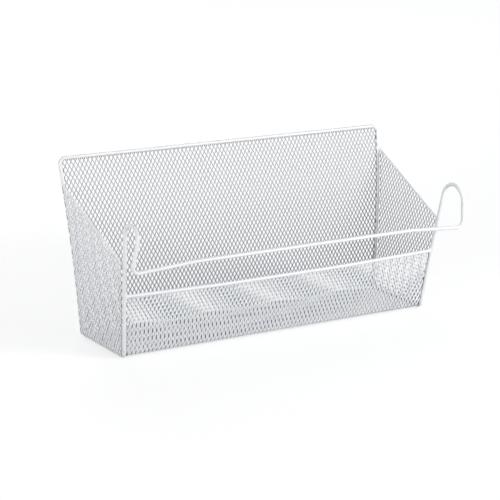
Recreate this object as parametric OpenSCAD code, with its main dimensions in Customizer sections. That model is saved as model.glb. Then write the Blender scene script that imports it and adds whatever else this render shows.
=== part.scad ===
// Hanging wire mesh basket: one bent round wire carries five flat nets of
// diamond mesh. The low side faces -Y and ends in two hooks joined by a bar.
// Heights are taken from the centre of the base wires, depths from the front
// bend of those wires, and the finished part is then set down on Z = 0.

/* [Wire frame] */
// Diameter of the round frame wire
wire_d = 4; // [3:0.5:6]
// Width between the centres of the two base wires
base_w = 370; // [300:5:440]
// Depth of the base wires from front bend to back bend
base_d = 86; // [70:1:140]
// Height of the tall back panel above the base wires
back_h = 178; // [165:1:240]
// How far the top of the back panel stands behind its foot
back_lean = 25; // [5:1:40]
// Forward bow at half height of the back panel
back_bow = 5; // [1:0.5:9]
// Outward lean of each side, in degrees
side_angle = 4.6; // [0:0.1:8]
// Forward lean of the front panel, in degrees
front_angle = 6.3; // [1:0.1:11]
// Bend radius at the top corners of the back panel
top_bend_r = 6; // [5:0.5:14]
// Bend radius at the back of the base wires
back_bend_r = 8; // [5:0.5:12]
// Bend radius at the front of the base wires
front_bend_r = 5; // [4:0.5:12]

/* [Hooks] */
// Height of the top of the hooks above the base wires
hook_h = 140.5; // [125:0.5:160]
// Distance between post and hook leg at the top of the hook
hook_gap = 28; // [24:0.5:40]
// Extra forward lean of the posts above their kink, in degrees
kink_angle = 1.7; // [0.5:0.1:3.5]
// Outward slant of the hook leg, in degrees
splay_angle = 8; // [0:0.5:11]
// Slant of the hook leg back to the basket, in degrees
return_angle = 5; // [0:0.5:7]
// Height of the bar between the hooks above the base wires
bar_h = 96; // [88:1:108]
// How much higher the bar is at mid length than at its ends
bar_rise = 4.5; // [1:0.5:8]
// Bend radius where a hook leg turns into the bar
bar_bend_r = 7; // [5:0.5:10]

/* [Front rail] */
// Diameter of the rail welded between the posts
rail_d = 4; // [3:0.5:5]
// Height of the rail ends above the base wires
rail_h = 63.5; // [50:0.5:75]
// How far the rail sags at mid length
rail_sag = 2.6; // [0.5:0.1:5]

/* [Mesh] */
// Thickness of the diamond mesh
mesh_t = 0.8; // [0.6:0.1:1.4]
// Width of one diamond, before it is fitted to its net
cell_w = 24; // [20:0.5:28]
// Height of one diamond, before it is fitted to its net
cell_h = 39; // [32:0.5:46]
// Width of a strand between two diamonds
strand_w = 2.4; // [2:0.1:3.5]
// Width of the solid rim of a net
rim_w = 2; // [1.5:0.1:3]
// Height of the side nets at the back wire
side_back_h = 154; // [120:1:158]
// Height of the side nets at the post
side_front_h = 100; // [85:1:108]
// Gap between a net and the wire that it is welded to
seat = 0.2; // [0.1:0.05:0.3]
// Height of a side net's foot above the base wire's centre
side_foot = 1.5; // [1:0.1:2]
// Lap of a side net over the front of its post's centre
front_lap = 1.5; // [0.5:0.1:1.9]

/* [Edge trim] */
// Thickness of the folded trim on the sloping edges
trim_t = 2.4; // [2.2:0.1:3.2]
// Height of the folded trim
trim_h = 3.4; // [3:0.1:5]
// Play between the mesh and the fold of the trim
trim_play = 0.15; // [0.1:0.05:0.3]
// Distance of the trim's ends from the wire centres
trim_end = 3.4; // [3.2:0.1:6]

/* [Joints] */
// Distance of a wire's joint from the corner point of the nearest bend
joint_step = 16; // [14:1:30]
// Straight stretch left at each end of the bowed back wires
bow_straight = 20; // [18:1:40]
// Straight stretch left between the two bends of a hook
hook_top_run = 0.4; // [0.2:0.1:4]
// Share of the straight run from kink to hook at which the post ends
post_share = 0.4; // [0.2:0.05:0.6]
// Height of the post's kink above the rail
kink_step = 4; // [3:0.5:8]
// Bend radius of the post's kink
kink_r = 60; // [40:5:80]
// Share of the half width at which the bar starts to rise
bar_knee_share = 0.65; // [0.6:0.05:0.8]
// Bend radius where the bar starts to rise
bar_knee_r = 300; // [200:20:500]
// Share of the half width at which the rail reaches its lowest level
rail_knee_share = 0.4; // [0.3:0.05:0.6]
// Bend radius where the rail reaches its lowest level
rail_knee_r = 2500; // [1000:100:2500]

/* [Hidden] */

wire_r = wire_d / 2;
// Straight runs reach a little into the bends, which are a hair thinner
lap = 0.05;
bend_thin = 0.02;
// Sides of a round wire as drawn
wire_fn = 32;
// A diamond's centre may lie outside the rim by this share of its width
cut_share = 0.25;

// Half the width of the frame at a height above the base wires
function side_x(z) = base_w / 2 + tan(side_angle) * z;

// Depth of the post's centre below its kink
function post_y(z) = -tan(front_angle) * z;

function unit(v) = v / norm(v);

// Point at a share of the way from one point to another
function between(p, q, share) = p + share * (q - p);

// Point at a distance from one point towards another
function towards(p, q, distance) = p + distance * unit(q - p);

// Rotation that turns the Z axis to a direction
function turn_to(v) = [0, acos(v.z / norm(v)), atan2(v.y, v.x)];

// Frame points on the left side, as corners where the straight runs would meet
kink_z = rail_h + kink_step;
top_corner = [-side_x(back_h), base_d + back_lean, back_h];
back_corner = [-base_w / 2, base_d, 0];
front_corner = [-base_w / 2, 0, 0];
kink = [-side_x(kink_z), post_y(kink_z), kink_z];
hook_rise = hook_h - kink_z;
hook_start = kink + [-tan(side_angle), -tan(front_angle + kink_angle), 1] * hook_rise;
hook_end = hook_start - [0, hook_gap, 0];
bar_corner = hook_end + [-tan(splay_angle), tan(return_angle), -1] * (hook_h - bar_h);
bar_knee = [bar_corner.x * bar_knee_share, bar_corner.y, bar_h + bar_rise];

// The hook's two bends share the gap so that they meet in one round top
post_dir = unit(hook_start - kink);
leg_dir = unit(bar_corner - hook_end);
post_turn = acos(-post_dir.y);
leg_turn = acos(-leg_dir.y);
hook_r = (hook_gap - hook_top_run) / (tan(post_turn / 2) + tan(leg_turn / 2));

// The back wires bow forward between two straight ends
back_chord = norm(top_corner - back_corner);
bow_reach = back_chord / 2 - bow_straight;
bow_offset = back_bow / (1 - bow_reach / back_chord);
bow_mid = between(back_corner, top_corner, 0.5);
bow_corner = bow_mid + bow_offset * unit([0, -back_h, back_lean]);
bow_r = bow_reach / tan(atan(bow_offset / (back_chord / 2)));

// Cuts where one wire node meets the next, square to a straight run
top_joint = towards(top_corner, bow_corner, joint_step);
low_joint = towards(back_corner, bow_corner, joint_step);
post_joint = towards(front_corner, kink, joint_step);
hook_joint = between(kink, hook_start, post_share);
bar_joint = towards(bar_corner, bar_knee, joint_step);

// Depth range of the whole part, which puts the origin at mid depth
front_y = hook_end.y - wire_r;
back_y = top_corner.y + wire_r;
mid_y = (front_y + back_y) / 2;

// Tangent length of the bend at an inner point of a wire
function reach(pts, radii, i) = (i == 0 || i == len(pts) - 1) ? 0
    : radii[i] * tan(acos(unit(pts[i] - pts[i - 1]) * unit(pts[i + 1] - pts[i])) / 2);

// Round steps of an arc, with finer steps on large radii
arc_steps_min = 48;
arc_steps_rate = 22;
function arc_fn(r) = max(arc_steps_min, ceil(arc_steps_rate * sqrt(r)));

// Straight round bar between two points
module rod(p, q, d) {
    translate(p)
        rotate(turn_to(q - p))
            cylinder(d = d, h = norm(q - p), $fn = wire_fn);
}

// Round bend of radius r at corner b between the runs from a and to c
module bend(a, b, c, r, d) {
    u = unit(b - a);
    w = unit(c - b);
    turn = acos(u * w);
    n = unit(cross(u, w));
    inward = cross(n, u);
    align = turn_to(n);
    local_x = [cos(align.z) * cos(align.y), sin(align.z) * cos(align.y), -sin(align.y)];
    local_y = [-sin(align.z), cos(align.z), 0];
    roll = atan2(-inward * local_y, -inward * local_x);
    translate(b - u * r * tan(turn / 2) + r * inward)
        rotate(align)
            rotate([0, 0, roll])
                rotate_extrude(angle = turn, $fn = arc_fn(r))
                    translate([r, 0])
                        circle(d = d - bend_thin, $fn = wire_fn);
}

// Wire through corner points, each inner corner bent to its radius
module bent_wire(pts, radii, d = wire_d) {
    for (i = [0 : len(pts) - 2])
        rod(towards(pts[i], pts[i + 1], max(0, reach(pts, radii, i) - lap)),
            towards(pts[i + 1], pts[i], max(0, reach(pts, radii, i + 1) - lap)), d);
    if (len(pts) > 2)
        for (i = [1 : len(pts) - 2])
            bend(pts[i - 1], pts[i], pts[i + 1], radii[i], d);
}

// Sets the frame down on Z = 0 with the origin at mid depth
module placed() {
    translate([0, -mid_y, wire_r])
        children();
}

// The same piece on the right side
module on_right() {
    mirror([1, 0, 0])
        children();
}

function mirrored(p) = [-p.x, p.y, p.z];

module top_wire() {
    color("whitesmoke")
        placed()
            bent_wire([top_joint, top_corner, mirrored(top_corner), mirrored(top_joint)],
                [0, top_bend_r, top_bend_r, 0]);
}

module left_back_wire() {
    color("whitesmoke")
        placed()
            bent_wire([low_joint, bow_corner, top_joint], [0, bow_r, 0]);
}

module right_back_wire() {
    on_right()
        left_back_wire();
}

module left_base_wire() {
    color("whitesmoke")
        placed()
            bent_wire([low_joint, back_corner, front_corner, post_joint],
                [0, back_bend_r, front_bend_r, 0]);
}

module right_base_wire() {
    on_right()
        left_base_wire();
}

module left_post() {
    color("whitesmoke")
        placed()
            bent_wire([post_joint, kink, hook_joint], [0, kink_r, 0]);
}

module right_post() {
    on_right()
        left_post();
}

module left_hook() {
    color("whitesmoke")
        placed()
            bent_wire([hook_joint, hook_start, hook_end, bar_corner, bar_joint],
                [0, hook_r, hook_r, bar_bend_r, 0]);
}

module right_hook() {
    on_right()
        left_hook();
}

module hook_bar() {
    color("whitesmoke")
        placed()
            bent_wire([bar_joint, bar_knee, mirrored(bar_knee), mirrored(bar_joint)],
                [0, bar_knee_r, bar_knee_r, 0]);
}

// Rail butted between the posts, bent in the plane of the front panel. Its
// left half is given by its end and the knee at its lowest level.
rail_tip = [-side_x(rail_h) + wire_r + seat, post_y(rail_h), rail_h];
rail_low = rail_h - rail_sag;
rail_knee = [rail_tip.x * rail_knee_share, post_y(rail_low), rail_low];

module front_rail() {
    color("whitesmoke")
        placed()
            bent_wire([rail_tip, rail_knee, mirrored(rail_knee), mirrored(rail_tip)],
                [0, rail_knee_r, rail_knee_r, 0], rail_d);
}

// Edges of an outline as pairs of points
function edges(outline) = [for (i = [0 : len(outline) - 1])
    [outline[i], outline[(i + 1) % len(outline)]]];

// Distance of a point from an edge
function edge_gap(p, e) =
    let (run = e[1] - e[0], share = (p - e[0]) * run / (run * run))
    norm(p - between(e[0], e[1], max(0, min(1, share))));

// True for a point inside an outline, which a level line from it leaves an
// odd number of times
function inside(p, outline) =
    len([for (e = edges(outline))
        if ((e[0].y > p.y) != (e[1].y > p.y)
            && p.x < e[0].x + (p.y - e[0].y) * (e[1].x - e[0].x) / (e[1].y - e[0].y)) e]) % 2 == 1;

// Net of diamonds inside an outline, with a solid rim as wide as the inner
// outline leaves. The diamonds stand upright, and their width and height are
// fitted so that whole and half diamonds fill the inner outline's box. One
// that the rim cuts is kept while its centre is inside or close to the edge.
module diamond_net(outline, inner) {
    low = [min([for (p = inner) p.x]), min([for (p = inner) p.y])];
    high = [max([for (p = inner) p.x]), max([for (p = inner) p.y])];
    cols = round(2 * (high.x - low.x) / cell_w);
    rows = round(2 * (high.y - low.y) / cell_h);
    half = [(high.x - low.x) / cols, (high.y - low.y) / rows];
    open = 1 - strand_w * norm(half) / (2 * half.x * half.y);
    difference() {
        polygon(outline);
        intersection() {
            polygon(inner);
            for (row = [0 : rows])
                for (col = [row % 2 : 2 : cols]) {
                    centre = low + [col * half.x, row * half.y];
                    edge = min([for (e = edges(inner)) edge_gap(centre, e)]);
                    if (inside(centre, inner) || edge < cell_w * cut_share)
                        translate(centre)
                            scale(open)
                                polygon([[-half.x, 0], [0, -half.y], [half.x, 0], [0, half.y]]);
                }
        }
    }
}

// Half width of the nets that stand between the side wires
function net_x(z, inset) = side_x(z) - wire_r - seat - inset;

// Bottom of the standing nets, on top of the base net
net_foot = mesh_t / 2 + seat / 2;

// Outline of the back net, with its top corners cut clear of the wire's bends
back_cut = 2 * (top_bend_r - wire_r - seat) * (1 - sqrt(0.5)) + seat;
function back_outline(inset) =
    let (top = back_h - wire_r - seat - inset, foot = net_foot + inset)
    [[-net_x(foot, inset), foot], [net_x(foot, inset), foot],
        [net_x(top, inset), top - back_cut], [net_x(top, inset) - back_cut, top],
        [-net_x(top, inset) + back_cut, top], [-net_x(top, inset), top - back_cut]];

// Depth and height of the bowed back wire's centre at a share of its length,
// drawn in a number of steps
bow_steps = 5;
function bow_point(share) =
    let (swing = 2 * atan(bow_reach / bow_r),
        turn = (share - 0.5) * swing,
        chord_dir = unit([back_lean, back_h]),
        face_dir = [chord_dir.y, -chord_dir.x],
        mid = [bow_mid.y, bow_mid.z],
        hub = mid - (bow_r - back_bow) * [-face_dir.x, -face_dir.y])
    hub - bow_r * (cos(turn) * face_dir - sin(turn) * chord_dir);

// Centre line of the back panel in depth and height, from foot to top
back_line = concat([[back_corner.y, back_corner.z]],
    [for (i = [0 : bow_steps]) bow_point(i / bow_steps)],
    [[top_corner.y, top_corner.z]]);

// The net is cut from straight boards and takes its bow from a bent slab
module back_mesh() {
    slab = [for (p = back_line) p - [mesh_t / 2, 0]];
    rear = [for (i = [len(back_line) - 1 : -1 : 0]) back_line[i] + [mesh_t / 2, 0]];
    color("gainsboro")
        placed()
            intersection() {
                translate([0, base_d + back_lean + mesh_t, 0])
                    rotate([90, 0, 0])
                        linear_extrude(back_lean + back_bow + 3 * mesh_t)
                            diamond_net(back_outline(0), back_outline(rim_w));
                rotate([90, 0, 90])
                    linear_extrude(2 * side_x(back_h), center = true)
                        polygon(concat(slab, rear));
            }
}

// Base net, level with the centres of the base wires
module base_mesh() {
    half = base_w / 2 - wire_r - seat;
    front = -mesh_t / 2;
    rear = base_d + mesh_t / 2;
    color("gainsboro")
        placed()
            translate([0, 0, -mesh_t / 2])
                linear_extrude(mesh_t)
                    diamond_net([[-half, front], [half, front], [half, rear], [-half, rear]],
                        [[-half + rim_w, front + rim_w], [half - rim_w, front + rim_w],
                            [half - rim_w, rear - rim_w], [-half + rim_w, rear - rim_w]]);
}

// Front net, in the plane of the posts, with its top edge under the rail
front_slant = 1 / cos(front_angle);
front_drop = rail_d / 2 + seat;
function front_outline(inset) =
    let (foot = net_foot + inset, tip = rail_h * front_slant - front_drop - inset,
        dip = rail_low * front_slant - front_drop - inset)
    [[-net_x(foot, inset), foot], [net_x(foot, inset), foot],
        [net_x(rail_h, inset), tip], [-rail_knee.x, dip],
        [rail_knee.x, dip], [-net_x(rail_h, inset), tip]];

module front_mesh() {
    color("gainsboro")
        placed()
            rotate([90 + front_angle, 0, 0])
                linear_extrude(mesh_t, center = true)
                    diamond_net(front_outline(0), front_outline(rim_w));
}

// Side nets lie on the outside of the side wires. Their outline is drawn in
// depth and in slant height, seen from the right.
side_slant = 1 / cos(side_angle);
side_offset = wire_r + mesh_t / 2 + seat;

// Depth of the back wire's centre at a height
function back_depth(z) = lookup(z, [for (p = back_line) [p.y, p.x]]);

// Height of a side net's sloping top edge at a depth
function side_top(y, inset) =
    let (low = [post_y(side_front_h), side_front_h],
        high = [back_depth(side_back_h), side_back_h])
    low.y + (y - low.x) * (high.y - low.y) / (high.x - low.x) - inset;

// Outline of a side net, its back edge drawn in a number of steps
side_steps = 8;
function side_outline(inset) =
    let (front = post_y(side_front_h) - front_lap + inset,
        foot = side_foot + inset,
        lift = inset * tan(front_angle))
    concat([[post_y(foot) - front_lap + inset, foot]],
        [for (i = [0 : side_steps])
            let (z = foot + (side_top(back_depth(side_back_h), inset) - foot) * i / side_steps)
            [back_depth(z) - inset, z]],
        [[front, side_top(front, inset) - lift]]);

function slanted(outline) = [for (p = outline) [p.x, p.y * side_slant]];

// Sets what is drawn in depth and slant height on the right side's outer plane
module on_side_plane() {
    translate([base_w / 2, 0, 0])
        rotate([0, side_angle, 0])
            translate([side_offset, 0, 0])
                rotate([90, 0, 90])
                    children();
}

module right_mesh() {
    color("gainsboro")
        placed()
            on_side_plane()
                translate([0, 0, -mesh_t / 2])
                    linear_extrude(mesh_t)
                        diamond_net(slanted(side_outline(0)), slanted(side_outline(rim_w)));
}

module left_mesh() {
    on_right()
        right_mesh();
}

// Trim folded over the sloping edge of a side net
module right_edge_trim() {
    low_y = post_y(side_front_h) + trim_end;
    high_y = back_depth(side_back_h) - trim_end;
    low = [low_y, side_top(low_y, 0) * side_slant];
    high = [high_y, side_top(high_y, 0) * side_slant];
    slot = mesh_t + 2 * trim_play;
    color("white")
        placed()
            on_side_plane()
                translate(low)
                    rotate([90, 0, 90 + atan2(high.y - low.y, high.x - low.x)])
                        linear_extrude(norm(high - low))
                            trim_profile(slot);
}

// Folded strip in section: the fold is round and the mesh stands in its slot
module trim_profile(slot) {
    difference() {
        union() {
            translate([trim_play, 0])
                circle(d = trim_t, $fn = wire_fn);
            translate([trim_play - trim_h, -trim_t / 2])
                square([trim_h, trim_t]);
        }
        translate([-trim_h - trim_t, -slot / 2])
            square([trim_h + trim_t + trim_play, slot]);
    }
}

module left_edge_trim() {
    on_right()
        right_edge_trim();
}

top_wire();
left_back_wire();
right_back_wire();
left_base_wire();
right_base_wire();
left_post();
right_post();
left_hook();
right_hook();
hook_bar();
front_rail();
back_mesh();
base_mesh();
front_mesh();
left_mesh();
right_mesh();
left_edge_trim();
right_edge_trim();
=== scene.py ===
from math import atan, cos, hypot, radians, sin, tan

import bmesh
import bpy
from mathutils import Matrix, Vector


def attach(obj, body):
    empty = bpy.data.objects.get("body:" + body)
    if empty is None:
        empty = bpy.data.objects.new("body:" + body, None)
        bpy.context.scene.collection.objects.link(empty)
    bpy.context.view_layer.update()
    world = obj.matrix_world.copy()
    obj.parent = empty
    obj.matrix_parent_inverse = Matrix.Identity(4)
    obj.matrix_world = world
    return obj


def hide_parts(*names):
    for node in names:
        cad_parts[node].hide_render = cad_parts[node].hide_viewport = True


# White wire mesh basket: bent round wire, a folded tray of expanded mesh, and
# two side nets with a hem rolled over their sloping edges, all under one white
# powder coat. The wires and the front rail are the CAD nodes themselves

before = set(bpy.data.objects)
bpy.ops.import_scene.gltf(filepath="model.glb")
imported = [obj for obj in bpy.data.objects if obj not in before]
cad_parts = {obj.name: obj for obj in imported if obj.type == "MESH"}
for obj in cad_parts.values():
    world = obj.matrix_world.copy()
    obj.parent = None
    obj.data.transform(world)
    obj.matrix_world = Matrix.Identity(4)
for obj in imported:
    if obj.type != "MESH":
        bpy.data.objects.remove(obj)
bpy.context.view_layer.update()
scene = bpy.context.scene
MM = 0.001

# Driving sizes of the basket, as heights above the base wires' centres and
# depths behind the front bend of those wires
WIRE_R = 2 * MM
BASE_W = 370 * MM
BASE_D = 86 * MM
BACK_H = 178 * MM
BACK_LEAN = 25 * MM
BACK_BOW = 5 * MM
SIDE_SLOPE = tan(radians(4.6))
FRONT_SLOPE = tan(radians(6.3))
RAIL_H = 63.5 * MM
SIDE_BACK_H = 154.3 * MM
SIDE_FRONT_H = 98 * MM

# The origin stands at mid depth, on the surface under the base wires
MID_DEPTH = 32.644 * MM

# Expanded mesh: width and height of one opening's cell, width of a strand and
# how far its edges stand proud of the sheet's middle
TRAY = {"cell": (4.84 * MM, 8.1 * MM), "strand": 0.95 * MM, "rise": 0.35 * MM}
SIDE = {"cell": (4.8 * MM, 8.6 * MM), "strand": 0.95 * MM, "rise": 0.2 * MM}

# Length of the bond, where two strands run as one, half the straight height at
# an opening's widest, and the strands' thickness
BOND = 1.2 * MM
WAIST_HALF = BOND * 0.4
STRAND_T = 0.5 * MM

# How deep the cut strands reach into the wire that they are welded to, and
# how far from the cut a near-black painted shade marks the crevice beside the wire
WELD_IN = 0.5 * MM
CREVICE_SHADE_REACH = 0.7 * MM
TRAY_INSET = WIRE_R - WELD_IN

# The front net starts this far below the ends of the rail, and stays inside the
# rail where that sags
FRONT_START = WELD_IN + 0.6 * MM

# Folds of the tray, and the steps of a fold and of the back panel's bow
FOLD_R = 2.2 * MM
ABOVE_FOLD = FOLD_R * 3
FOLD_STEPS = 5
BOW_STEPS = 12

# Dark specks of painted crevice shade along the wires beside the tray: how far
# they lie from the cut ends and on the inner side of the sheet, and their radius
SEAM_IN = 0.35 * MM
SEAM_OVER = 0.55 * MM
SEAM_R = 0.6 * MM

# Bead at an end of the rail: its reach along the rail, in depth and in height
BEAD_RADII = (2.2 * MM, WIRE_R * 1.02, 3.2 * MM)

# Segments round and rings up a speck and a bead, and the angles in degrees over
# which an edge of a hem, or of a speck or bead, stays sharp
SPECK_SIDES = (8, 5)
BEAD_SIDES = (24, 16)
HEM_CREASE = 40
BLOB_CREASE = 80

# Side nets: their lower edge's height, how far their ends stop short of the
# wires' centres, how deep they are sunk into the wires' outer side, and how far
# outside those centres the net's middle lies
SIDE_FOOT = 0.3 * MM
SIDE_END = 0.8 * MM
SIDE_SUNK = 0.15 * MM
SIDE_OFFSET = WIRE_R + SIDE["rise"] + STRAND_T / 2 - SIDE_SUNK
SIDE_LEAN = atan(SIDE_SLOPE)
SLANT = hypot(1, SIDE_SLOPE)

# Hem rolled over a side net's sloping edge: its radius, the segments of a full
# roll, the height of the roll's centre over the net's edge, its sheet, and the
# reach of its flaps
HEM_R = 0.8 * MM
HEM_SEGMENTS = 28
HEM_UP = 0.3 * MM
HEM_SHEET = 0.28 * MM
HEM_FLAP = 1.1 * MM

# How close points count as one, as the end of a cut strand, as level with the
# base, and as lying on the plane of a cut while it is made
MERGE_WITHIN = 0.05 * MM
ON_CUT = 0.01 * MM
ON_BASE = 0.1 * MM
CUT_SNAP = 1e-7

# Painted shade on the nets: faces inside the basket are painted darker, more so from some
# height down to the base, and the strands beside the wires are painted near black as the shadow
# in the crevice
INSIDE_SHADE_REACH = 130 * MM
DEEP_INSIDE_SHADE = (0.22, 0.24, 0.30)
HIGH_INSIDE_SHADE = (0.49, 0.5, 0.515)
CREVICE_SHADE_COLOUR = (0.09, 0.09, 0.1)

# Texture of the coat: span of the noise that is used, scale, detail and shade of
# the mottling, detail and depth of the orange peel, and how far the roughness
# strays to either side
NOISE_SPAN = (0.3, 0.7)
MOTTLE_SCALE = 90
MOTTLE_DETAIL = 3
MOTTLE_SHADE = 0.95
PEEL_DETAIL = 2
PEEL_DEPTH = 0.05 * MM
SMOOTHER = 0.05
ROUGHER = 0.07

# Camera, found by fitting the basket's wires to the photograph: its lens and
# sensor, how far it sees, its turns and its place
LENS = 132.838
SENSOR_W = 36
SIGHT = 50
YAW = radians(34.022)
PITCH = radians(15.120)
ROLL = radians(1.873)
CAMERA_AT = Vector((-1.04685, -1.52333, 0.57860))

# Lamps: where they hang, and their diameter and power. All aim at one place
KEY_AT = (0.8, -1.1, 0.6)
FILL_AT = (-1.9, -0.7, 0.5)
BACK_AT = (0.5, 1.9, 0.9)
KEY_LAMP = (0.7, 15)
FILL_LAMP = (1.2, 19)
BACK_LAMP = (1.4, 14)
LAMPS_AIM = (0, 0, 0.08)

# Floor: half its width, its grey, and the light that it gives to the camera on
# top of what falls on it. That light is less beside the key lamp's foot and more
# far from it, between two distances, so that the floor is white all over
FLOOR_HALF = 4
FLOOR_GREY = (0.5, 0.5, 0.5, 1)
FLOOR_ROUGHNESS = 0.9
FLOOR_REACH = (0.9, 3.3)
FLOOR_LIFT = (0.53, 0.8)

# World: light of the studio's walls and of its darker ceiling, the rise of the
# view at which the ceiling is reached, its tint, and the white that the camera
# sees
STUDIO_LIGHT = (0.66, 0.28)
CEILING_RISE = 0.9
STUDIO_TINT = (0.95, 0.97, 1, 1)
WHITE = (1, 1, 1, 1)


def side_x(height):
    """Half the width of the frame at a height."""
    return BASE_W / 2 + SIDE_SLOPE * height


def front_y(height):
    """Depth of the front panel and posts at a height."""
    return -FRONT_SLOPE * height


def back_y(height):
    """Depth of the bowed back panel at a height."""
    share = height / BACK_H
    return BASE_D + BACK_LEAN * share - 4 * BACK_BOW * share * (1 - share)


def placed(x, depth, height):
    """A point of the basket in the frame's own coordinates."""
    return Vector((x, depth - MID_DEPTH, height + WIRE_R))


def on_side(side, depth, up, out):
    """A point of a side panel from its depth, its height up the slope and its
    distance outside the wires' centres."""
    x = BASE_W / 2 + up * sin(SIDE_LEAN) + out * cos(SIDE_LEAN)
    return placed(side * x, depth, up * cos(SIDE_LEAN) - out * sin(SIDE_LEAN))


def side_edge():
    """Both ends of a side panel's sloping edge, in depth and height up it."""
    return (Vector((front_y(SIDE_FRONT_H), SIDE_FRONT_H * SLANT)),
            Vector((back_y(SIDE_BACK_H), SIDE_BACK_H * SLANT)))


def new_piece(name, node, bm, material):
    """Makes an object of a finished bmesh, which may stand for a CAD node."""
    mesh = bpy.data.meshes.new(name)
    bm.to_mesh(mesh)
    bm.free()
    mesh.materials.append(material)
    piece = bpy.data.objects.new(name, mesh)
    scene.collection.objects.link(piece)
    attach(piece, "root")
    if node:
        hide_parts(node)
    return piece


def smooth(piece, angle):
    """Rounds the shading of all edges but those sharper than an angle."""
    piece.data.shade_smooth()
    bm = bmesh.new()
    bm.from_mesh(piece.data)
    for edge in bm.edges:
        if len(edge.link_faces) == 2:
            edge.smooth = edge.calc_face_angle() < radians(angle)
    bm.to_mesh(piece.data)
    bm.free()


def everything(bm):
    """All that a bmesh holds."""
    return bm.verts[:] + bm.edges[:] + bm.faces[:]


# Expanded mesh, made flat and then laid on its panel


def cell_face(bm, cell):
    """One cell of the mesh: a six sided face, pointed at top and bottom."""
    ring = bmesh.ops.create_circle(bm, cap_ends=True, segments=6, radius=1)
    tip = cell[1] / 2 - BOND / 2
    for v in ring["verts"]:
        at_tip = abs(v.co.x) < 0.1
        if at_tip:
            v.co = Vector((0, tip if v.co.y > 0 else -tip, 0))
        else:
            v.co.x = cell[0] / 2 if v.co.x > 0 else -cell[0] / 2
            v.co.y = BOND / 2 if v.co.y > 0 else -BOND / 2


def repeat(bm, step, count):
    """Repeats all that the mesh holds a number of times in a row."""
    if count > 0:
        bmesh.ops.spin(bm, geom=everything(bm), cent=(0, 0, 0), axis=(0, 0, 1), dvec=step,
                       angle=0, steps=count, use_duplicate=True)


def cut(bm, point, outward, crevice_shade=0):
    """Cuts away what lies on the outward side of a line on the flat mesh, and
    marks the strands for a near-black painted crevice shade for a distance from the cut."""
    point = Vector((point[0], point[1], 0))
    outward = Vector((outward[0], outward[1], 0)).normalized()
    bmesh.ops.bisect_plane(bm, geom=everything(bm), dist=CUT_SNAP, plane_co=point,
                           plane_no=outward, clear_outer=True)
    if crevice_shade > 0:
        point = point - outward * crevice_shade
        bmesh.ops.bisect_plane(bm, geom=everything(bm), dist=CUT_SNAP, plane_co=point,
                               plane_no=outward)
        # Painted shade: these faces get a near-black coat that stands in for the crevice's
        # shadow beside the wire
        layer = bm.faces.layers.float["crevice_shade"]
        for face in bm.faces:
            if (face.calc_center_median() - point).dot(outward) > 0:
                face[layer] = 1


def open_cells(bm, cells, weave):
    """Opens each cell and leaves its strands, which lean to one side: the side
    of an opening with lower x is raised."""
    cell = weave["cell"]
    bmesh.ops.inset_individual(bm, faces=cells, thickness=weave["strand"] / 2,
                               use_even_offset=True)
    waist = cell[0] / 2 - weave["strand"]
    tip = (cell[1] - BOND) / 2
    for face in cells:
        middle = face.calc_center_median()
        for v in face.verts:
            way = v.co - middle
            at_tip = abs(way.x) < cell[0] / 8
            side = 0 if at_tip else 1 if way.x > 0 else -1
            up = 1 if way.y > 0 else -1
            v.co.x = middle.x + side * waist
            v.co.y = middle.y + up * (tip if at_tip else WAIST_HALF)
            v.co.z = -weave["rise"] * side
    bmesh.ops.delete(bm, geom=cells, context="FACES_ONLY")


def open_mesh(weave, low, high):
    """Flat expanded mesh over a rectangle between two corners."""
    width, height = weave["cell"]
    bm = bmesh.new()
    bm.faces.layers.float.new("crevice_shade")
    cell_face(bm, weave["cell"])
    columns = int((high[0] - low[0]) / width) + 2
    rows = int((high[1] - low[1]) / height) + 2
    between = bmesh.ops.duplicate(bm, geom=everything(bm))["geom"]
    bmesh.ops.translate(bm, vec=(width / 2, height / 2, 0),
                        verts=[v for v in between if isinstance(v, bmesh.types.BMVert)])
    repeat(bm, (width, 0, 0), columns)
    repeat(bm, (0, height, 0), rows)
    bmesh.ops.translate(bm, verts=bm.verts, vec=(low[0] - width / 2, low[1] - height / 2, 0))
    bmesh.ops.remove_doubles(bm, verts=bm.verts, dist=MERGE_WITHIN)
    open_cells(bm, bm.faces[:], weave)
    return bm


def thicken(bm, crevice_shade_outside):
    """Gives the flat mesh its strands' thickness, half to each side, and marks
    how much a face looks out of the basket; faces that look in get the painted shade of the
    basket's inside. The strips of painted crevice shade stay on outer faces where the second
    argument is 1, and are painted over with the coat there where it is 0."""
    bmesh.ops.recalc_face_normals(bm, faces=bm.faces)
    bmesh.ops.solidify(bm, geom=everything(bm), thickness=STRAND_T)
    bmesh.ops.translate(bm, verts=bm.verts, vec=(0, 0, STRAND_T / 2))
    bmesh.ops.recalc_face_normals(bm, faces=bm.faces)
    outside = bm.faces.layers.float.new("outside")
    crevice_shade = bm.faces.layers.float["crevice_shade"]
    for face in bm.faces:
        looks_out = face.normal.z > 0.5
        if looks_out:
            face[outside] = 1
            face[crevice_shade] *= crevice_shade_outside


# Path of the folded sheet, from the front panel's top edge to the back panel's


def fold(corner, before, after):
    """Rounds a corner of the path between two directions."""
    turn = before.angle(after)
    reach = FOLD_R * tan(turn / 2)
    start = corner - before * reach
    centre = start + Vector((-before.y, before.x)) * FOLD_R
    spoke = start - centre
    return [centre + spoke @ Matrix.Rotation(-turn * i / FOLD_STEPS, 2)
            for i in range(FOLD_STEPS + 1)]


def tray_path():
    """Points of the path, in depth and height."""
    front = [Vector((front_y(h), h)) for h in (RAIL_H, ABOVE_FOLD)]
    heights = [BACK_H * i / BOW_STEPS for i in range(1, BOW_STEPS + 1)]
    back = [Vector((back_y(h), h)) for h in heights]
    down = Vector((FRONT_SLOPE, -1)).normalized()
    level = Vector((1, 0))
    up = (back[0] - Vector((BASE_D, 0))).normalized()
    return (front + fold(Vector((0, 0)), down, level)
            + fold(Vector((BASE_D, 0)), level, up) + back)


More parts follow.
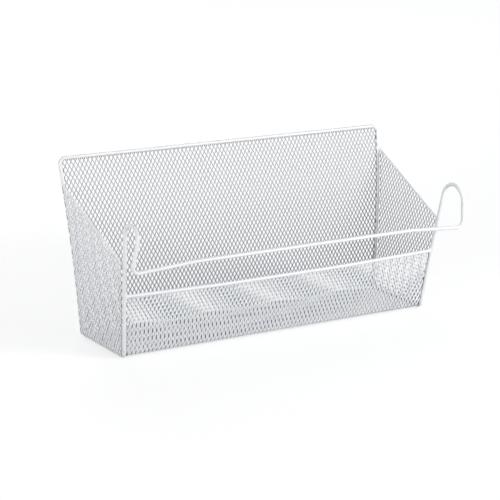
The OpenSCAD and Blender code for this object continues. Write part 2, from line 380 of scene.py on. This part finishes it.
PATH = tray_path()
PATH_AT = [0]
for a, b in zip(PATH, PATH[1:]):
    PATH_AT.append(PATH_AT[-1] + (b - a).length)


def on_path(s):
    """Point on the sheet's path at a length along it, and the way outwards."""
    i = 0
    while i < len(PATH) - 2 and PATH_AT[i + 1] < s:
        i += 1
    way = (PATH[i + 1] - PATH[i]).normalized()
    return PATH[i] + way * (s - PATH_AT[i]), Vector((way.y, -way.x))


def path_length_at_depth(depth):
    """Length along the path at a depth on the base, between the folds."""
    i = next(k for k in range(len(PATH)) if PATH[k].x > depth and abs(PATH[k].y) < ON_BASE)
    return PATH_AT[i] - (PATH[i].x - depth)


# The nets: a tray cut at its folds, and two side nets with their hems

# Lengths along the path at which the front, the base and the back panel end
FRONT_END = path_length_at_depth(FOLD_R)
BASE_END = path_length_at_depth(BASE_D - FOLD_R)
BACK_END = PATH_AT[-1] - TRAY_INSET

# Where the tray's strands end at a wire beside it, in width and along the path
SEAM = []


def note_seam(bm, side, start, low_half, widening):
    """Notes the middles of the cut ends on one side of a panel of the tray."""
    for edge in bm.edges:
        middle = (edge.verts[0].co + edge.verts[1].co) / 2
        inside = low_half + widening * (middle.y - start) - side * middle.x
        if edge.is_boundary and abs(inside) < ON_CUT:
            SEAM.append((middle.x - side * SEAM_IN, middle.y))


def tray_net(name, node, start, end, low_half, high_half, material):
    """One panel of the folded tray. Its half width runs from low_half at the
    start to high_half at the end of its stretch of the path."""
    width, height = TRAY["cell"]
    reach = (int(max(low_half, high_half) / width) + 1) * width
    bm = open_mesh(TRAY, (-reach, int(start / height) * height), (reach, end))
    cut(bm, (0, start), (0, -1), CREVICE_SHADE_REACH + WELD_IN if start < WIRE_R else 0)
    cut(bm, (0, end), (0, 1), CREVICE_SHADE_REACH + WELD_IN if end > PATH_AT[-1] - WIRE_R else 0)
    widening = (high_half - low_half) / (end - start)
    for side in (-1, 1):
        cut(bm, (side * low_half, start), (side, -widening), CREVICE_SHADE_REACH + WELD_IN)
        note_seam(bm, side, start, low_half, widening)
    thicken(bm, 1)
    for v in bm.verts:
        point, outward = on_path(v.co.y)
        point = point + outward * v.co.z
        v.co = placed(v.co.x, point.x, point.y)
    bmesh.ops.recalc_face_normals(bm, faces=bm.faces)
    new_piece(name, node, bm, material)


def side_net(name, node, side, material):
    """A side net, drawn flat over depth and slant height on its outer plane."""
    front, back = side_edge()
    spare = SIDE["cell"][0]
    low = (front.x - spare, SIDE_FOOT)
    bm = open_mesh(SIDE, low, (back.x + spare, back.y))
    cut(bm, low, (0, -1), CREVICE_SHADE_REACH + WIRE_R)
    cut(bm, (SIDE_END, 0), (-1, -FRONT_SLOPE), CREVICE_SHADE_REACH + WIRE_R - SIDE_END)
    cut(bm, front, (front.y - back.y, back.x - front.x))
    for v in bm.verts:
        v.co.x -= back_y(v.co.y / SLANT)
    cut(bm, (-SIDE_END, 0), (1, 0), CREVICE_SHADE_REACH + WIRE_R - SIDE_END)
    for v in bm.verts:
        v.co.x += back_y(v.co.y / SLANT)
    thicken(bm, 0)
    for v in bm.verts:
        v.co = on_side(side, v.co.x, v.co.y, v.co.z + SIDE_OFFSET)
    bmesh.ops.recalc_face_normals(bm, faces=bm.faces)
    new_piece(name, node, bm, material)


def hem_section(bm):
    """Section of the hem, flat, with x away from the net: half a roll and a
    flap down either side of the net."""
    hair = 0.01 * HEM_R
    ring = bmesh.ops.create_circle(bm, segments=HEM_SEGMENTS, radius=HEM_R)["verts"]
    bmesh.ops.delete(bm, geom=[v for v in ring if v.co.x < -hair], context="VERTS")
    ends = [v for v in bm.verts if v.co.x < hair]
    flaps = bmesh.ops.extrude_vert_indiv(bm, verts=ends)["verts"]
    bmesh.ops.translate(bm, verts=flaps, vec=(-HEM_FLAP, 0, 0))
    bmesh.ops.translate(bm, verts=bm.verts, vec=(HEM_UP, 0, 0))


def hem(name, node, side, material):
    """Strip rolled over the sloping edge of a side net, drawn out along it."""
    front, back = side_edge()
    along = (back - front).normalized()
    away = Vector((-along.y, along.x))
    bm = bmesh.new()
    hem_section(bm)
    strip = bmesh.ops.extrude_edge_only(bm, edges=bm.edges)["geom"]
    far = [v for v in strip if isinstance(v, bmesh.types.BMVert)]
    bmesh.ops.translate(bm, verts=far, vec=(0, 0, (back - front).length - SIDE_END * 2))
    bmesh.ops.recalc_face_normals(bm, faces=bm.faces)
    bmesh.ops.solidify(bm, geom=everything(bm), thickness=HEM_SHEET)
    for v in bm.verts:
        point = front + along * (v.co.z + SIDE_END) + away * v.co.x
        v.co = on_side(side, point.x, point.y, v.co.y + SIDE_OFFSET)
    bmesh.ops.recalc_face_normals(bm, faces=bm.faces)
    smooth(new_piece(name, node, bm, material), HEM_CREASE)


# Dark specks of painted crevice shade along the tray's seam, and a bead at each end of the rail


def add_blob(bm, centre, radii, segments, rings):
    """Adds a rounded blob of three radii."""
    place = Matrix.Translation(centre) @ Matrix.Diagonal((*radii, 1))
    bmesh.ops.create_uvsphere(bm, u_segments=segments, v_segments=rings, radius=1, matrix=place)


def seam_shade_specks(material):
    """A dark speck of painted crevice shade on the inner side of each strand's end beside a
    wire.
    """
    bm = bmesh.new()
    for x, length in SEAM:
        point, outward = on_path(length)
        point = point - outward * SEAM_OVER
        add_blob(bm, placed(x, point.x, point.y), (SEAM_R, SEAM_R, SEAM_R), *SPECK_SIDES)
    smooth(new_piece("seam_shade_specks", None, bm, material), BLOB_CREASE)


def rail_beads(material):
    """A bead of weld where each end of the rail meets its post."""
    bm = bmesh.new()
    for side in (-1, 1):
        at_post = placed(side * (side_x(RAIL_H) - WIRE_R), front_y(RAIL_H), RAIL_H)
        add_blob(bm, at_post, BEAD_RADII, *BEAD_SIDES)
    smooth(new_piece("rail_beads", None, bm, material), BLOB_CREASE)


# Nodes that paints and light are made of


def noise(tree, place, scale, detail):
    """Noise over a place's coordinates."""
    texture = tree.nodes.new("ShaderNodeTexNoise")
    texture.inputs["Scale"].default_value = scale
    texture.inputs["Detail"].default_value = detail
    tree.links.new(place, texture.inputs["Vector"])
    return texture.outputs["Fac"]


def spread(tree, source, span, ends):
    """Spreads a span of a value between two ends, and holds it there beyond."""
    node = tree.nodes.new("ShaderNodeMapRange")
    node.inputs["From Min"].default_value, node.inputs["From Max"].default_value = span
    node.inputs["To Min"].default_value, node.inputs["To Max"].default_value = ends
    tree.links.new(source, node.inputs["Value"])
    return node.outputs["Result"]


def mix(tree, share, low, high):
    """Mixes two colours by a share. Either may come from another node."""
    node = tree.nodes.new("ShaderNodeMix")
    node.data_type = "RGBA"
    for socket, colour in (("A", low), ("B", high)):
        if isinstance(colour, tuple):
            node.inputs[socket].default_value = (*colour, 1)
        else:
            tree.links.new(colour, node.inputs[socket])
    tree.links.new(share, node.inputs["Factor"])
    return node.outputs["Result"]


def marked(tree, layer):
    """What a net's faces are marked with."""
    reader = tree.nodes.new("ShaderNodeAttribute")
    reader.attribute_name = layer
    return reader.outputs["Fac"]


def height_of(tree, place):
    """The vertical part of a place or a direction."""
    parts = tree.nodes.new("ShaderNodeSeparateXYZ")
    tree.links.new(place, parts.inputs["Vector"])
    return parts.outputs["Z"]


def larger(tree, first, second):
    """The larger of two values."""
    node = tree.nodes.new("ShaderNodeMath")
    node.operation = "MAXIMUM"
    tree.links.new(first, node.inputs[0])
    tree.links.new(second, node.inputs[1])
    return node.outputs[0]


def pick(tree, share, first, second):
    """Picks one of two shaders."""
    node = tree.nodes.new("ShaderNodeMixShader")
    tree.links.new(share, node.inputs["Fac"])
    tree.links.new(first, node.inputs[1])
    tree.links.new(second, node.inputs[2])
    return node.outputs[0]


# Powder coat of the wires, the nets and the hems


def powder_coat(name, colour, roughness, grain, bump, net=False):
    """White powder coat: faint mottling, orange peel and soft gloss. On a net,
    the faces that look into the basket get a darker coat of painted shade, the darker
    the deeper they lie, and the ends of the strands beside a wire a near-black painted crevice
    shade."""
    material = bpy.data.materials.new(name)
    material.use_nodes = True
    tree = material.node_tree
    shader = tree.nodes["Principled BSDF"]
    place = tree.nodes.new("ShaderNodeTexCoord").outputs["Object"]
    mottling = spread(tree, noise(tree, place, MOTTLE_SCALE, MOTTLE_DETAIL), NOISE_SPAN, (0, 1))
    coat = mix(tree, mottling, tuple(c * MOTTLE_SHADE for c in colour), colour)
    if net:
        # Painted shade: faces looking into the basket get a darker coat, darkest near the base,
        # and the strands' ends beside a wire a near-black one for the crevice's shadow
        height = spread(tree, height_of(tree, place), (0, INSIDE_SHADE_REACH), (0, 1))
        inside_shade = mix(tree, height, DEEP_INSIDE_SHADE, HIGH_INSIDE_SHADE)
        coat = mix(tree, marked(tree, "outside"), inside_shade, coat)
        coat = mix(tree, marked(tree, "crevice_shade"), coat, CREVICE_SHADE_COLOUR)
    tree.links.new(coat, shader.inputs["Base Color"])
    gloss = spread(tree, noise(tree, place, grain, PEEL_DETAIL), NOISE_SPAN,
                   (roughness - SMOOTHER, roughness + ROUGHER))
    tree.links.new(gloss, shader.inputs["Roughness"])
    peel = tree.nodes.new("ShaderNodeBump")
    peel.inputs["Strength"].default_value = bump
    peel.inputs["Distance"].default_value = PEEL_DEPTH
    tree.links.new(noise(tree, place, grain, PEEL_DETAIL), peel.inputs["Height"])
    tree.links.new(peel.outputs["Normal"], shader.inputs["Normal"])
    shader.inputs["IOR"].default_value = 1.5
    shader.inputs["Coat Weight"].default_value = 0.15
    shader.inputs["Coat Roughness"].default_value = 0.25
    return material


# Stage: a pale floor that keeps the basket's shadow and is white to the camera


def white_to_camera(tree, shader, strength):
    """Adds plain white light to the floor, for what the camera sees."""
    path = tree.nodes.new("ShaderNodeLightPath")
    lift = tree.nodes.new("ShaderNodeEmission")
    tree.links.new(strength, lift.inputs["Strength"])
    none = tree.nodes.new("ShaderNodeEmission")
    none.inputs["Strength"].default_value = 0
    seen = larger(tree, path.outputs["Is Camera Ray"], path.outputs["Is Glossy Ray"])
    seen = larger(tree, seen, path.outputs["Is Transmission Ray"])
    both = tree.nodes.new("ShaderNodeAddShader")
    tree.links.new(shader, both.inputs[0])
    tree.links.new(pick(tree, seen, none.outputs[0], lift.outputs[0]), both.inputs[1])
    return both.outputs[0]


def floor_paint():
    """Matt grey paint, lifted to white for the camera."""
    material = bpy.data.materials.new("floor_paint")
    material.use_nodes = True
    tree = material.node_tree
    shader = tree.nodes["Principled BSDF"]
    shader.inputs["Base Color"].default_value = FLOOR_GREY
    shader.inputs["Roughness"].default_value = FLOOR_ROUGHNESS
    shader.inputs["Specular IOR Level"].default_value = 0
    place = tree.nodes.new("ShaderNodeTexCoord")
    reach = tree.nodes.new("ShaderNodeVectorMath")
    reach.operation = "DISTANCE"
    reach.inputs[1].default_value = (KEY_AT[0], KEY_AT[1], 0)
    tree.links.new(place.outputs["Object"], reach.inputs[0])
    lift = spread(tree, reach.outputs["Value"], FLOOR_REACH, FLOOR_LIFT)
    lit = white_to_camera(tree, shader.outputs["BSDF"], lift)
    tree.links.new(lit, tree.nodes["Material Output"].inputs["Surface"])
    return material


def make_floor():
    """A level floor under the basket."""
    bm = bmesh.new()
    bmesh.ops.create_grid(bm, x_segments=1, y_segments=1, size=FLOOR_HALF)
    mesh = bpy.data.meshes.new("floor")
    bm.to_mesh(mesh)
    bm.free()
    mesh.materials.append(floor_paint())
    floor = bpy.data.objects.new("floor", mesh)
    scene.collection.objects.link(floor)


def make_world():
    """Soft light from all round, weaker from above, and white to the camera."""
    world = bpy.data.worlds.new("studio")
    world.use_nodes = True
    tree = world.node_tree
    soft = tree.nodes["Background"]
    soft.inputs["Color"].default_value = STUDIO_TINT
    way = tree.nodes.new("ShaderNodeTexCoord").outputs["Generated"]
    strength = spread(tree, height_of(tree, way), (0, CEILING_RISE), STUDIO_LIGHT)
    tree.links.new(strength, soft.inputs["Strength"])
    white = tree.nodes.new("ShaderNodeBackground")
    white.inputs["Color"].default_value = WHITE
    seen = tree.nodes.new("ShaderNodeLightPath").outputs["Is Camera Ray"]
    lit = pick(tree, seen, soft.outputs[0], white.outputs[0])
    tree.links.new(lit, tree.nodes["World Output"].inputs["Surface"])
    scene.world = world


def area_light(name, place, size, power):
    """A round lamp that looks at the basket."""
    light = bpy.data.lights.new(name, "AREA")
    light.shape = "DISK"
    light.size = size
    light.energy = power
    lamp = bpy.data.objects.new(name, light)
    lamp.location = place
    aim = Vector(LAMPS_AIM) - Vector(place)
    lamp.rotation_euler = aim.to_track_quat("-Z", "Y").to_euler()
    scene.collection.objects.link(lamp)


def make_camera():
    """The photograph's camera, from its place and its turn."""
    ahead = Vector((sin(YAW) * cos(PITCH), cos(YAW) * cos(PITCH), -sin(PITCH)))
    level = Vector((cos(YAW), -sin(YAW), 0))
    upright = level.cross(ahead)
    right = level * cos(ROLL) + upright * sin(ROLL)
    up = upright * cos(ROLL) - level * sin(ROLL)
    camera = bpy.data.objects.new("camera", bpy.data.cameras.new("camera"))
    camera.data.lens = LENS
    camera.data.sensor_width = SENSOR_W
    camera.data.clip_end = SIGHT
    turn = Matrix((right, up, -ahead)).transposed().to_4x4()
    camera.matrix_world = Matrix.Translation(CAMERA_AT) @ turn
    scene.collection.objects.link(camera)
    scene.camera = camera


# The basket: its coats, its CAD wires, and the pieces that are made here

WIRE_COAT = powder_coat("wire_coat", (0.82, 0.83, 0.84), roughness=0.38, grain=900, bump=0.35)
MESH_COAT = powder_coat("mesh_coat", (0.88, 0.89, 0.905), roughness=0.45, grain=1400, bump=0.3,
                        net=True)
TRIM_COAT = powder_coat("trim_coat", (0.87, 0.88, 0.89), roughness=0.38, grain=900, bump=0.35)
# Near-black coat of painted crevice shade, for the specks along the tray's seam
SEAM_SHADE_PAINT = powder_coat("seam_shade_paint", CREVICE_SHADE_COLOUR, roughness=0.6, grain=900, bump=0.6)
COAT_OF = {"mesh": MESH_COAT, "trim": TRIM_COAT}

for name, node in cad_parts.items():
    node.data.materials.clear()
    node.data.materials.append(COAT_OF.get(name.split("_")[-1], WIRE_COAT))

tray_net("front_net", "front_mesh", FRONT_START, FRONT_END,
         side_x(RAIL_H) - TRAY_INSET, side_x(0) - TRAY_INSET, MESH_COAT)
tray_net("base_net", "base_mesh", FRONT_END, BASE_END,
         side_x(0) - TRAY_INSET, side_x(0) - TRAY_INSET, MESH_COAT)
tray_net("back_net", "back_mesh", BASE_END, BACK_END,
         side_x(0) - TRAY_INSET, side_x(BACK_H) - TRAY_INSET, MESH_COAT)
side_net("left_net", "left_mesh", -1, MESH_COAT)
side_net("right_net", "right_mesh", 1, MESH_COAT)
# Dark specks of painted crevice shade where the tray's strands meet the wires
seam_shade_specks(SEAM_SHADE_PAINT)
rail_beads(WIRE_COAT)
hem("left_hem", "left_edge_trim", -1, TRIM_COAT)
hem("right_hem", "right_edge_trim", 1, TRIM_COAT)

make_camera()
make_floor()
make_world()
area_light("key", KEY_AT, *KEY_LAMP)
area_light("fill", FILL_AT, *FILL_LAMP)
area_light("back", BACK_AT, *BACK_LAMP)

scene.view_settings.view_transform = "Standard"
